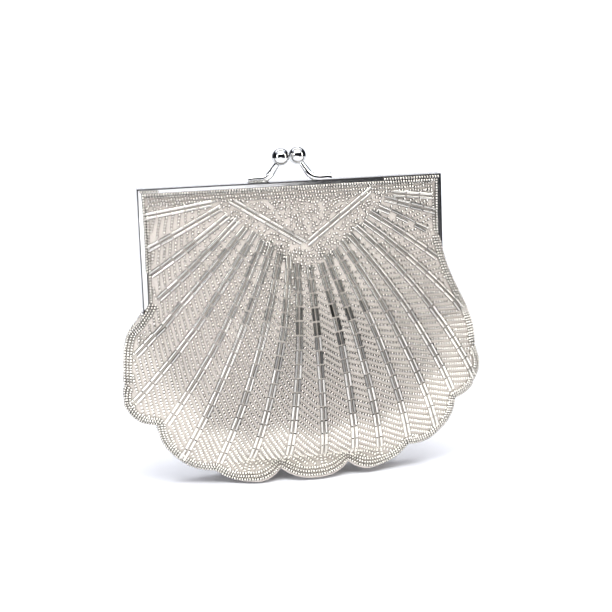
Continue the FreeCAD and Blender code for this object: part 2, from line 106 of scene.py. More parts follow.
# ---------------------------------------------------------------- the shape of a beaded panel
def smooth(pairs):
    """A curve through the pairs with no overshoot between them."""
    at, value = (np.array(column, float) for column in zip(*pairs))
    slope = np.diff(value) / np.diff(at)
    product, total = slope[1:] * slope[:-1], slope[1:] + slope[:-1]
    inner = np.where(product > 0, 2 * product / np.where(total == 0, 1, total), 0)
    tangent = np.concatenate(([slope[0]], inner, [slope[-1]]))

    def curve(q):
        """The curve's values at q, held level beyond its ends."""
        q = np.clip(np.asarray(q, float), at[0], at[-1])
        i = np.clip(np.searchsorted(at, q) - 1, 0, len(at) - 2)
        h = at[i + 1] - at[i]
        t = (q - at[i]) / h
        return (
            (2 * t**3 - 3 * t**2 + 1) * value[i] + (t**3 - 2 * t**2 + t) * h * tangent[i]
            + (3 * t**2 - 2 * t**3) * value[i + 1] + (t**3 - t**2) * h * tangent[i + 1]
        )

    return curve


def ease(x):
    """From 0 to 1 with a gentle start and end."""
    x = np.clip(x, 0, 1)
    return x * x * (3 - 2 * x)


# Half widths by height: the side that stays behind its leg, and the side that hangs over it.
tight_reach = smooth([
    (0, 60), (8, 66), (16, 74), (25, 81), (34, 85.2), (45, 86.8), (55, 86.8), (66, 86.2), (76, 84), (82, 79),
    (87, 75.2), (92, MOUTH), (149, MOUTH),
])
loose_reach = smooth([
    (0, 60), (8, 66), (16, 74), (25, 82), (34, 88), (45, 91), (55, 92), (66, 91.6), (71, 90.8), (78, 88.4),
    (85, 85), (95, 80.4), (105, 76.8), (115, 74.4), (121, MOUTH), (149, MOUTH),
])
# How far the middle of a panel stands forward, by height: with the fold above the hem, and without it.
crown = smooth([
    (0, 19.5), (4, 15), (8, 9.8), (10.5, 8.6), (13.5, 13.4), (19, 17.4), (27, 20.4), (38, 22.3), (52, 23.1),
    (68, 23.2), (80.5, 21.8), (90, 19.8), (102, 16.4), (114, 12.6), (126, 8.9), (136, 6.0), (143, 4.0),
    (FRAME_TOP, TUCK_DEPTH),
])
plain_crown = smooth([(0, 11.5), (8, 14), (16, 16.8), (25, 19.6), (30, 20.9)])
# How far its side edges stand forward: nothing at the side seam, clear of the leg where they hang over it.
tight_edge = smooth([(0, 0.8), (76, 0.5), (83, 4.4), (88, 4.4), (93, TUCK_DEPTH), (149, TUCK_DEPTH)])
loose_edge = smooth([(0, 0.8), (76, 0.5), (83, 4.4), (118, 4.4), (124, TUCK_DEPTH), (149, TUCK_DEPTH)])


def reach(x, z):
    """Half width of a panel at height z, on the side that x lies on."""
    return np.where(x > 0, loose_reach(z), tight_reach(z))


def turned_back(z):
    """How far a side edge has turned back towards the mouth of its leg, from 0 to 1, by height."""
    return ease((z - EDGE_LOW) / 7)


def forward(x, z):
    """How far the cloth stands forward of the parting plane at x, z on the flat pattern."""
    x, z = np.asarray(x, float), np.asarray(z, float)
    share = np.clip(np.abs(x) / reach(x, z), 0, 1)
    away = ease(np.maximum((x - 30) / 25, (-x - 22) / 25))
    middle = crown(z) + np.where(z < 25, plain_crown(z) - crown(z), 0) * away
    rim = np.minimum(np.where(x > 0, loose_edge(z), tight_edge(z)), middle)
    body = ease((z - 20) / 20) * ease((138 - z) / 30) * (1 - share**4)
    swell = 0.45 * np.sin(x / 7.5 + z / 31) + 0.35 * np.sin(x / 17 - z / 13 + 1)
    return rim + (middle - rim) * (1 - share**2.1) ** 0.8 + swell * body


def on_cloth(points, side, lift=0.0):
    """Points of the flat pattern laid on the panel of one side, lift proud of it, in metres."""
    x, z = points[:, 0], points[:, 1]

    def place(x, z):
        """Where a point of the pattern lies on the front panel."""
        return np.stack([x, -forward(x, z), z], 1)

    step = 0.25
    here = place(x, z)
    if lift:
        across = place(x + step, z) - place(x - step, z)
        upward = place(x, z + step) - place(x, z - step)
        normal = np.cross(across, upward)
        here = here + lift * normal / np.linalg.norm(normal, axis=1)[:, None]
    return here * (1, SIDES[side], 1) * MM


# Hem: where the scallops meet, and how far each scallop hangs past the line between two such points.
CUSPS = ((-86.2, 52), (-72, 32), (-44.7, 7), (-12, 6), (22.6, 6.4), (54, 12.6), (79.5, 34), (91.6, 60))
HANG = (7.5, 7.2, 5.6, 4.8, 6.4, 7.6, 8.0)
SIDE_TOP = 146.9                  # height of the panel's top edge, inside the channel


def line(a, b, count):
    """Points from a to b at even distances."""
    t = np.linspace(0, 1, count)[:, None]
    return np.array(a, float) * (1 - t) + np.array(b, float) * t


def hem_scallops():
    """The scallops of the hem from left to right, each a run of points."""
    runs = []
    for a, b, hang in zip(CUSPS[:-1], CUSPS[1:], HANG):
        t = np.linspace(0, 1, 41)
        along = np.array(b, float) - a
        out = np.array((along[1], -along[0])) / np.linalg.norm(along)
        run = line(a, b, 41) + np.outer(hang * (1 - np.abs(2 * t - 1) ** 2.5), out)
        run[:, 1] = np.maximum(run[:, 1], 1.0)
        runs.append(run)
    return runs


def outline():
    """The cut edge of a panel, round from its top left corner."""
    left = np.linspace(SIDE_TOP, CUSPS[0][1], 60)
    right = np.linspace(CUSPS[-1][1], SIDE_TOP, 60)
    tuck_left = TUCK * ease((left - 92) / 4)
    tuck_right = TUCK * ease((right - 120) / 4)
    runs = [np.stack([-tight_reach(left) - tuck_left, left], 1)]
    runs += [run[:-1] for run in hem_scallops()]
    runs += [np.stack([loose_reach(right) + tuck_right, right], 1)]
    top_right = (loose_reach(SIDE_TOP) + TUCK, SIDE_TOP)
    top_left = (-tight_reach(SIDE_TOP) - TUCK, SIDE_TOP)
    runs += [line(top_right, top_left, 50)[1:-1]]
    joined = np.concatenate(runs)
    keep = np.linalg.norm(joined - np.roll(joined, 1, 0), axis=1) > 0.05
    return joined[keep]


CUT_EDGE = outline()


def to_line(points, a, b):
    """How far each point lies from the nearest of the lines that run from a to b."""
    px, pz = points[:, :1], points[:, 1:]
    run = b - a
    t = ((px - a[:, 0]) * run[:, 0] + (pz - a[:, 1]) * run[:, 1]) / (run**2).sum(1)
    t = np.clip(t, 0, 1)
    return np.hypot(px - a[:, 0] - t * run[:, 0], pz - a[:, 1] - t * run[:, 1]).min(1)


def inside(points, margin):
    """Which points lie within the cut edge by at least margin."""
    a, b = CUT_EDGE, np.roll(CUT_EDGE, -1, 0)
    px, pz = points[:, :1], points[:, 1:]
    over = (a[:, 1] > pz) != (b[:, 1] > pz)
    rise = np.where(b[:, 1] == a[:, 1], 1e-9, b[:, 1] - a[:, 1])
    crossings = over & (px < a[:, 0] + (pz - a[:, 1]) * (b[:, 0] - a[:, 0]) / rise)
    return (crossings.sum(1) % 2 == 1) & (to_line(points, a, b) > margin)


def cloth_mesh(edge, spacing):
    """Flat triangles filling a closed edge: points and faces."""
    low, high = edge.min(0), edge.max(0)
    rows = []
    for j, z in enumerate(np.arange(low[1], high[1], spacing * 0.87)):
        xs = np.arange(low[0] + (j % 2) * spacing / 2, high[0], spacing)
        rows.append(np.stack([xs, np.full(len(xs), z)], 1))
    filling = np.concatenate(rows)
    gap = np.array([np.min(np.hypot(*(edge - p).T)) for p in filling])
    filling = filling[gap > spacing * 0.45]
    verts = [Vector(p) for p in np.concatenate([edge, filling])]
    edges = [(i, (i + 1) % len(edge)) for i in range(len(edge))]
    points, _, faces, *_ = delaunay_2d_cdt(verts, edges, [list(range(len(edge)))], 1, 1e-4)
    return np.array([tuple(p) for p in points]), [tuple(f) for f in faces]


# ---------------------------------------------------------------- the lines the beads are sewn on
SHELL_MIDDLE = 5.4                # where the middle of the fan lies
FIRST_RIB = 5.4                   # distance of the first rib from it, on both sides of the middle rib
RIB_SPACING = 3.95
SHOULDER = 109.4                  # height at which the first rib starts
SHOULDER_RISE = 0.79              # how much higher the next ones start, per distance outwards
MIDDLE_RIB_START = (5.6, 107.6)
# Where each rib ends on the flat pattern, numbered from the middle one, and how far it bows outwards.
RIB_ENDS = {
    -11: (-73, 135), -10: (-73, 118.5), -9: (-73.5, 104.5), -8: (-76, 87), -7: (-87, 60), -6: (-87, 38),
    -5: (-69, 30.5), -4: (-60, 14.5), -3: (-44, 8), -2: (-30, 3), -1: (-9, 7.5),
    0: (10, 6), 1: (26, 7), 2: (40, 4.5), 3: (54.6, 13), 4: (70, 18), 5: (80, 33), 6: (92, 41), 7: (93, 68.5),
    8: (83, 97), 9: (77, 114), 10: (73, 129.5), 11: (72.5, 137),
}
RIB_BOWS = {
    -6: -2, -5: -2, -4: -1, -3: -2, -2: -3, -1: -1.5, 1: 2, 2: 2.6, 3: 3, 4: 3.3, 5: 3.6, 6: 4.5, 7: 2.5,
    8: 1, 9: 1,
}
CHEVRON = ((-30.5, 140.6), (5.2, 117.6), (38.0, 140.6))


def rib(k):
    """The middle of rib k, from the shoulder of the shell to a little past the hem, 0.5 mm apart."""
    out = FIRST_RIB + RIB_SPACING * (abs(k) - 1)
    start = MIDDLE_RIB_START
    if k:
        start = (SHELL_MIDDLE + math.copysign(out, k), SHOULDER + SHOULDER_RISE * (out - FIRST_RIB))
    if k % 2:
        start = (start[0] + math.copysign(0.5, k), start[1] - 0.9)
    start, end = np.array(start), np.array(RIB_ENDS[k], float)
    run = end - start
    length = np.linalg.norm(run)
    outward = np.array((-run[1], run[0])) / length * (1 if k > 0 else -1)
    middle = (start + end) / 2 + 2 * RIB_BOWS.get(k, 0) * outward
    t = np.linspace(0, 1.1, int(length * 2.2))[:, None]
    return (1 - t) ** 2 * start + 2 * t * (1 - t) * middle + t * t * end


def measured(path):
    """Distance along a path at each of its points."""
    return np.concatenate(([0], np.cumsum(np.linalg.norm(np.diff(path, axis=0), axis=1))))


def at(path, distance):
    """The points of a path at the given distances along it."""
    s = measured(path)
    return np.stack([np.interp(distance, s, path[:, 0]), np.interp(distance, s, path[:, 1])], 1)


def beside(path, offset):
    """A line beside a path, offset to its left."""
    tangent = np.gradient(path, axis=0)
    tangent /= np.linalg.norm(tangent, axis=1)[:, None]
    return path + offset * np.stack([-tangent[:, 1], tangent[:, 0]], 1)


def cut_to(path, margin, least):
    """The runs of a path that lie inside the cut edge by margin, and are at least so long."""
    keep = inside(path, margin)
    runs, run = [], []
    for ok, point in zip(keep, path):
        if ok:
            run.append(point)
        elif run:
            runs.append(run)
            run = []
    runs.append(run)
    return [np.array(r) for r in runs if len(r) > 1 and measured(np.array(r))[-1] >= least]


RIBS = {k: rib(k) for k in sorted(RIB_ENDS)}


def bugle_run(path):
    """How many pitches of bugles fit along a rib, and how far along it there is room for seeds."""
    run = measured(path)[-1]
    spots = np.arange(BUGLE_LENGTH / 2, run, 0.5)
    kept = at(path, spots)
    entry = np.where(kept[:, 0] > 0, RIGHT_ENTRY, LEFT_ENTRY)
    in_mouth = (kept[:, 1] > entry) & (np.abs(kept[:, 0]) > MOUTH - 2.4)
    in_fold = (kept[:, 0] > FOLD_SIDES[0]) & (kept[:, 0] < FOLD_SIDES[1]) & (kept[:, 1] < FOLD_TOP)
    free = inside(kept, HEM_ROWS[-1] + 0.6) & ~in_mouth
    last_bugle, last_seed = (
        spots[np.argmax(~good)] if (~good).any() else run for good in (free & ~in_fold, free)
    )
    return int((last_bugle - BUGLE_LENGTH / 2) / BUGLE_PITCH), last_seed


def rib_strands():
    """The two strands of bugles of every rib."""
    found = []
    for path in RIBS.values():
        pitches, _ = bugle_run(path)
        spots = BUGLE_LENGTH / 2 + np.linspace(0, pitches * BUGLE_PITCH + 0.05, pitches * 6 + 1)
        found += [beside(at(path, spots), offset) for offset in (-STRAND_GAP, STRAND_GAP)]
    return found


def rib_tails(numbers):
    """Seeds that carry a rib on from its last bugles to the rows of the hem."""
    found = []
    for k in numbers:
        pitches, last_seed = bugle_run(RIBS[k])
        start = BUGLE_LENGTH + pitches * BUGLE_PITCH + SEED_WIDTH / 2
        if last_seed - start > 0.8:
            tail = at(RIBS[k], np.arange(start, last_seed + 0.1, 0.4))
            found += [beside(tail, offset) for offset in (-STRAND_GAP, STRAND_GAP)]
    return found


def chevron_strands():
    """The two strands of bugles of both arms of the chevron."""
    found = []
    for corner in (0, 2):
        arm = line(CHEVRON[1], CHEVRON[corner], 90)
        for lane, offset in enumerate((-STRAND_GAP, STRAND_GAP)):
            start = BUGLE_LENGTH * (0.55 + 0.3 * lane)
            spots = start + np.linspace(0, 5 * BUGLE_PITCH + 0.05, 40)
            found.append(beside(at(arm, spots), offset))
    return found


def seed_rows(lower, upper):
    """Slanting rows of seeds in the gap between two neighbouring ribs."""
    left, right = RIBS[lower], RIBS[upper]
    found, clear = [], STRAND_GAP + BUGLE_WIDTH / 2 + SEED_WIDTH / 2
    longest = min(measured(left)[-1], measured(right)[-1])
    single = []
    for s in np.arange(-14 * ROW_STEP, longest, ROW_STEP):
        near = float(np.clip(s, 0, longest))
        width = float(np.linalg.norm(at(left, [near]) - at(right, [near])))
        if width > 2 * clear + 0.3:
            b = np.linspace(clear / width, 1 - clear / width, max(int(width), 3))
            along = s + b * width * ROW_SLANT
            b, along = b[along > 0], along[along > 0]
            if len(b) > 1:
                row = at(left, along) * (1 - b)[:, None] + at(right, along) * b[:, None]
                found += cut_to(row, HEM_MARGIN, 0.4)
        elif s > 0 and width > 2 * clear - 1.7:
            single.append((at(left, [near])[0] + at(right, [near])[0]) / 2)
    if len(single) > 1:
        found += cut_to(np.array(single), HEM_MARGIN, 2)
    return found


FRAME_ROWS = (144.4, 142.6, 140.8)   # heights of the bead rows under the top bar


def frame_rows():
    """Rows under the top bar, a little wavy."""
    rows = [line((-70.8 + 0.45 * i, z), (70.8, z), 130) for i, z in enumerate(FRAME_ROWS)]
    for row in rows:
        row[:, 1] += 0.28 * np.sin(row[:, 0] * 0.9 + row[:, 1])
    return rows


def over_the_frame():
    """Rows that spill over the inner edges of the channel, and over its face at the top corners."""
    ends = [
        ((-MOUTH + 0.6, 145.5), (MOUTH - 0.6, 145.5), 130),
        ((47, 147.0), (MOUTH + 1.4, 147.2), 40),
        ((-MOUTH - 1.2, 147.0), (-66, 147.0), 12),
        ((-MOUTH - 0.5, 145.6), (-MOUTH - 0.1, 108), 40),
        ((MOUTH + 0.5, 145.6), (MOUTH + 0.1, 119), 40),
    ]
    return [line(a, b, count) for a, b, count in ends]


def hem_rows(offset):
    """One row along the scallops, turning round each point where two meet."""
    points, normals = [], []
    for run in hem_scallops():
        tangent = np.gradient(run, axis=0)
        tangent /= np.linalg.norm(tangent, axis=1)[:, None]
        inward = np.stack([-tangent[:, 1], tangent[:, 0]], 1)
        if points:
            for t in (0.25, 0.5, 0.75):
                turned = (1 - t) * normals[-1] + t * inward[0]
                points.append(run[0])
                normals.append(turned / np.linalg.norm(turned))
        points += list(run)
        normals += list(inward)
    row = np.array(points) + offset * np.array(normals)
    row[:, 1] = np.maximum(row[:, 1], 1.1)
    return at(row, np.arange(0.35 * offset, measured(row)[-1], 0.8))


def side_rows():
    """Rows up both side edges, from the hem to where the cloth goes into the frame."""
    found = []
    for offset in HEM_ROWS:
        left = np.linspace(CUSPS[0][1] + 1, 91, 50)
        right = np.linspace(CUSPS[-1][1] + 1, 117, 70)
        found.append(np.stack([-tight_reach(left) + offset, left], 1))
        found.append(np.stack([loose_reach(right) - offset, right], 1))
    left, right = np.linspace(93, 139, 60), np.linspace(119, 139, 30)
    found.append(np.stack([-tight_reach(left) + HEM_ROWS[0] + 0.8, left], 1))
    found.append(np.stack([loose_reach(right) - HEM_ROWS[0] - 0.8, right], 1))
    return found


# ---------------------------------------------------------------- nodes and finishes
def colour(code):
    """An sRGB hex value as linear colour."""
    parts = [int(code[i:i + 2], 16) / 255 for i in (1, 3, 5)]
    return [c / 12.92 if c <= 0.04045 else ((c + 0.055) / 1.055) ** 2.4 for c in parts] + [1.0]


def connect(tree, node, inputs):
    """Sets a node's inputs, given as values or as the outputs they are joined to."""
    for key, value in inputs.items():
        if isinstance(value, bpy.types.NodeSocket):
            tree.links.new(value, node.inputs[key])
        else:
            node.inputs[key].default_value = value


def add(tree, kind, inputs=None, **settings):
    """A new node with its settings and inputs."""
    made = tree.nodes.new(kind)
    for name, value in settings.items():
        setattr(made, name, value)
    connect(tree, made, inputs or {})
    return made


def calculate(tree, operation, *inputs):
    """The result of one step of arithmetic in a node tree."""
    return add(tree, "ShaderNodeMath", dict(enumerate(inputs)), operation=operation).outputs[0]


def blended(tree, share, under, over):
    """A colour that turns from one to the other with a share from 0 to 1."""
    return add(tree, "ShaderNodeMix", {0: share, 6: under, 7: over}, data_type="RGBA").outputs[2]


def from_object(tree):
    """Where a point lies in its piece's own frame, in metres."""
    return add(tree, "ShaderNodeTexCoord").outputs["Object"]


def new_finish(name):
    """An empty material with its node tree, and the shader that the finish is set on."""
    material = bpy.data.materials.new(name)
    material.use_nodes = True
    tree = material.node_tree
    tree.nodes.clear()
    shader = add(tree, "ShaderNodeBsdfPrincipled")
    add(tree, "ShaderNodeOutputMaterial", {"Surface": shader.outputs[0]})
    return material, tree, shader


def ramp(tree, value, stops):
    """A colour ramp with its stops."""
    made = add(tree, "ShaderNodeValToRGB", {"Fac": value})
    marks = made.color_ramp.elements
    while len(marks) < len(stops):
        marks.new(0.5)
    for mark, (position, code) in zip(marks, stops):
        mark.position = position
        mark.color = colour(code)
    return made.outputs["Color"]


def silver_lined_glass(name, dark, pale, shade_colour, rim_from, rim_to, spread):
    """Clear glass drawn to a tube, cut, and silvered inside the hole: a mirror under a glassy skin. Its
    colour has a painted dark rim where the surface turns from view, painted shade for the line that the
    wall's refraction gives, and painted shade on the wall of the hole. Each bead differs a little in how well
    it was silvered, and the light each carries paints it grey below the chevron, a painted dark reflection,
    and warm white near the hem, painted light from the floor."""
    material, tree, shader = new_finish(name)
    tone = add(tree, "ShaderNodeAttribute", attribute_name="tone").outputs["Fac"]
    light = add(tree, "ShaderNodeAttribute", attribute_name="light").outputs["Fac"]
    place = from_object(tree)
    hole = add(tree, "ShaderNodeAttribute", attribute_name="hole").outputs["Fac"]
    cloud = add(tree, "ShaderNodeTexNoise", {"Vector": place, "Scale": 1 / (4.0 * MM), "Detail": 1.0})
    # Painted light: the light attribute paints beads grey below the chevron, a painted dark reflection, and
    # warm white near the hem, painted light from the floor.
    level = calculate(tree, "MULTIPLY_ADD", tone, spread, light)
    silver = ramp(tree, level, ((0.1, dark), (0.6, pale), (1.0, "#FFFBF2")))
    # Painted shade: the colour turns dark at the rim where the surface turns from view, and on the wall of
    # the hole.
    edge = add(tree, "ShaderNodeLayerWeight", {"Blend": 0.5}).outputs["Facing"]
    rim = add(tree, "ShaderNodeMapRange", {"Value": edge, "From Min": rim_from, "From Max": rim_to},
              interpolation_type="SMOOTHSTEP").outputs[0]
    # Beads painted warm white, as painted floor light, get a fainter painted rim and, below, less metal.
    clear = add(tree, "ShaderNodeMapRange", {
        "Value": light, "From Min": 0.5, "From Max": 0.9, "To Min": 1.0, "To Max": 0.45,
    }).outputs[0]
    dim = calculate(tree, "MAXIMUM", calculate(tree, "MULTIPLY", rim, clear), hole)
    tint = blended(tree, dim, silver, colour(shade_colour))
    metal = add(tree, "ShaderNodeMapRange", {
        "Value": light, "From Min": 0.5, "From Max": 0.9, "To Min": 0.86, "To Max": 0.05,
    }).outputs[0]
    rough = add(tree, "ShaderNodeMapRange", {"Value": cloud.outputs["Fac"], "To Min": 0.14, "To Max": 0.22})
    connect(tree, shader, {
        "Base Color": tint, "Metallic": metal, "Roughness": rough.outputs[0],
        "Coat Weight": 0.7, "Coat Roughness": 0.04, "Coat IOR": 1.5,
    })
    return material


def woven_satin(name, shade, light, thread):
    """Satin: long floating threads one way, so a soft broad shine and a fine line along the weave."""
    material, tree, shader = new_finish(name)
    place = from_object(tree)
    turned = add(tree, "ShaderNodeMapping", {"Vector": place, "Scale": (1.0, 1.0, 0.35)})
    weave = add(tree, "ShaderNodeTexWave", {
        "Vector": turned.outputs[0], "Scale": 1 / (thread * MM * 6.28), "Distortion": 1.5, "Detail": 2.0,
    }, bands_direction="DIAGONAL")
    crush = add(tree, "ShaderNodeTexNoise", {"Vector": place, "Scale": 1 / (9 * MM), "Detail": 4.0})
    mixed = calculate(tree, "MULTIPLY", weave.outputs["Fac"], crush.outputs["Fac"])
    tint = ramp(tree, mixed, ((0.1, shade), (0.6, light)))
    bump = add(tree, "ShaderNodeBump", {
        "Height": weave.outputs["Fac"], "Strength": 0.2, "Distance": 0.03 * MM,
    })
    connect(tree, shader, {
        "Base Color": tint, "Roughness": 0.48, "Sheen Weight": 0.35, "Sheen Roughness": 0.4,
        "Normal": bump.outputs[0],
    })
    return material


def painted_edge_shade(tree, place):
    """Where the plate gets painted shade: dark lines along both edges of the channel's face, as a share from
    0 to 1.
    """
    spot = add(tree, "ShaderNodeSeparateXYZ", {
        0: add(tree, "ShaderNodeVectorMath", {0: place}, operation="ABSOLUTE").outputs[0],
    }).outputs
    half = FACE_WIDTH / 2
    beyond_side = calculate(tree, "SUBTRACT", spot["X"], (FRAME_HALF - half) * MM)
    beyond_top = calculate(tree, "SUBTRACT", spot["Z"], (FRAME_TOP - half) * MM)
    off_middle = calculate(tree, "ABSOLUTE", calculate(tree, "MAXIMUM", beyond_side, beyond_top))
    line_share = add(tree, "ShaderNodeMapRange", {
        "Value": off_middle, "From Min": (half - 0.8) * MM, "From Max": (half - 0.4) * MM,
    }).outputs[0]
    face_share = add(tree, "ShaderNodeMapRange", {
        "Value": spot["Y"], "From Min": (FACE_DEPTH - 0.9) * MM, "From Max": (FACE_DEPTH - 0.4) * MM,
        "To Max": 0.92,
    }).outputs[0]
    return calculate(tree, "MULTIPLY", line_share, face_share)


def plated_metal(name, base, rough_low, rough_high, scratch, shoulder, edge_shaded=False):
    """Nickel plate over pressed steel, buffed bright: mirror-like, with rolled shoulders at its edges that
    turn the reflection, and hairline marks from wear. Its colour darkens where the surface turns from view,
    a painted reflection of the dark room, and on the frame painted shade lines run along both edges of the
    channel's face."""
    material, tree, shader = new_finish(name)
    place = from_object(tree)
    drawn = add(tree, "ShaderNodeMapping", {"Vector": place, "Scale": (0.12, 1.0, 1.0)})
    hair = add(tree, "ShaderNodeTexNoise", {
        "Vector": drawn.outputs[0], "Scale": 1 / (scratch * MM), "Detail": 6.0,
    })
    cloud = add(tree, "ShaderNodeTexNoise", {"Vector": place, "Scale": 1 / (14 * MM), "Detail": 3.0})
    worn = calculate(tree, "MULTIPLY", hair.outputs["Fac"], cloud.outputs["Fac"])
    rough = add(tree, "ShaderNodeMapRange", {
        "Value": worn, "From Min": 0.1, "From Max": 0.45, "To Min": rough_low, "To Max": rough_high,
    })
    plate = ramp(tree, cloud.outputs["Fac"], ((0.3, base), (0.7, "#E6E6E5")))
    # Painted reflection: the colour darkens where the surface turns from view, for the dark room that it
    # would mirror.
    turn = add(tree, "ShaderNodeLayerWeight", {"Blend": 0.5}).outputs["Facing"]
    rim = add(tree, "ShaderNodeMapRange", {
        "Value": turn, "From Min": 0.45, "From Max": 0.9, "To Max": 0.85,
    }, interpolation_type="SMOOTHSTEP").outputs[0]
    tint = blended(tree, rim, plate, colour("#3C3C40"))
    # Painted shade: dark lines along both edges of the channel's face.
    if edge_shaded:
        tint = blended(tree, painted_edge_shade(tree, place), tint, colour("#1C1C1F"))
    rolled = add(tree, "ShaderNodeBevel", {"Radius": shoulder * MM}, samples=6)
    bump = add(tree, "ShaderNodeBump", {
        "Height": hair.outputs["Fac"], "Strength": 0.05, "Distance": 0.02 * MM, "Normal": rolled.outputs[0],
    })
    connect(tree, shader, {
        "Base Color": tint, "Metallic": 1.0, "Roughness": rough.outputs[0], "Normal": bump.outputs[0],
    })
    return material


def twisted_paper(name):
    """Kraft paper twisted into a cord that wedges the cloth in its channel: dull, with a slanting lay."""
    material, tree, shader = new_finish(name)
    place = from_object(tree)
    lay = add(tree, "ShaderNodeTexWave", {
        "Vector": place, "Scale": 1 / (0.8 * MM * 6.28), "Distortion": 0.6,
    }, bands_direction="DIAGONAL")
    tint = ramp(tree, lay.outputs["Fac"], ((0.0, "#A98E6B"), (1.0, "#D3BC98")))
    bump = add(tree, "ShaderNodeBump", {
        "Height": lay.outputs["Fac"], "Strength": 0.6, "Distance": 0.08 * MM,
    })
    connect(tree, shader, {"Base Color": tint, "Roughness": 0.85, "Normal": bump.outputs[0]})
    return material


# The first colour is the darkest silver, which the beads painted grey reach; the third is painted shade for
# the rims and holes.
bead_glass = silver_lined_glass(
    "seed_bead_silver_lined_glass", "#A5A199", "#EAE6DE", "#201F1C", rim_from=0.2, rim_to=0.58, spread=0.3,
)
bugle_glass = silver_lined_glass(
    "bugle_bead_silver_lined_glass", "#343331", "#D2CFC8", "#201F1D", rim_from=0.1, rim_to=0.48, spread=0.42,
)
panel_satin = woven_satin("greige_duchesse_satin", "#B9B2AC", "#C8C1BB", 0.3)
lining_satin = woven_satin("ivory_lining_satin", "#B9AD9D", "#D9D0C3", 0.28)
frame_plate = plated_metal("bright_nickel_plate_frame", "#CFCFCC", 0.05, 0.14, 0.4, 0.5, edge_shaded=True)
clasp_plate = plated_metal("buffed_nickel_plate_clasp", "#D2D2D1", 0.03, 0.09, 0.6, 0.3)
rivet_plate = plated_metal("tumbled_nickel_plate_rivet", "#C4C4C1", 0.14, 0.30, 0.25, 0.2)
wedge_paper = twisted_paper("twisted_kraft_paper")


# ---------------------------------------------------------------- making pieces
def new_object(name, points, edges, faces):
    """A mesh object, its points in metres."""
    mesh = bpy.data.meshes.new(name)
    mesh.from_pydata([tuple(p) for p in points], edges, faces)
    made = bpy.data.objects.new(name, mesh)
    bpy.context.scene.collection.objects.link(made)
    return made


def piece(name, points, faces, finish):
    """A mesh object with smooth faces and a finish."""
    made = new_object(name, points, [], faces)
    made.data.materials.append(finish)
    made.data.polygons.foreach_set("use_smooth", [True] * len(made.data.polygons))
    made.data.update()
    return made


def mark(obj, name, values):
    """Gives each point of an object a number that its finish reads."""
    obj.data.attributes.new(name, "FLOAT", "POINT").data.foreach_set("value", values)


def settled(obj):
    """The piece with its modifiers worked in, as a plain mesh at the origin."""
    graph = bpy.context.evaluated_depsgraph_get()
    mesh = bpy.data.meshes.new_from_object(obj.evaluated_get(graph))
    obj.modifiers.clear()
    obj.data = mesh
    mesh.name = obj.name
    return obj


def spun_bead(name, profile, count, smooth_faces, finish):
    """A bead turned from the closed profile of its wall round its hole, which lies along Z. A bead with one
    smooth face, its outside, was cut from a tube and has sharp ends."""
    turns = np.linspace(0, 2 * math.pi, count, endpoint=False)
    points = [(r * math.cos(a) * MM, r * math.sin(a) * MM, h * MM) for a in turns for r, h in profile]
    outer = profile[0][0]
    n = len(profile)
    faces = []
    for i in range(count):
        for j in range(n):
            a, b = i * n, ((i + 1) % count) * n
            faces.append((a + j, b + j, b + (j + 1) % n, a + (j + 1) % n))
    made = piece(name, points, faces, finish)
    made.data.polygons.foreach_set("use_smooth", [j in smooth_faces for _ in range(count) for j in range(n)])
    if len(smooth_faces) == 1:
        for edge in made.data.edges:
            ends = [made.data.vertices[v].co for v in edge.vertices]
            level = abs(ends[0].z - ends[1].z) < 1e-7
            edge.use_edge_sharp = level and min(math.hypot(*end[:2]) / MM for end in ends) > 0.9 * outer
    # The wall of the hole, which the finish fills with painted shade.
    mark(made, "hole", [float(r < 0.6 * outer) for _ in turns for r, _ in profile])
    made.hide_render = True
    made.hide_viewport = True
    return made


wide, long = SEED_WIDTH / 2, SEED_LENGTH / 2
seed_wall = ((wide, -0.2), (wide, 0.2), (wide * 0.62, long), (wide * 0.34, 0), (wide * 0.62, -long))
seed_bead = spun_bead("seed_pattern", seed_wall, 8, {0, 1, 2, 3, 4}, bead_glass)
wide, long = BUGLE_WIDTH / 2, BUGLE_LENGTH / 2
bugle_wall = ((wide, -long), (wide, long), (wide * 0.5, long), (wide * 0.5, -long))
bugle_bead = spun_bead("bugle_pattern", bugle_wall, 10, {0}, bugle_glass)


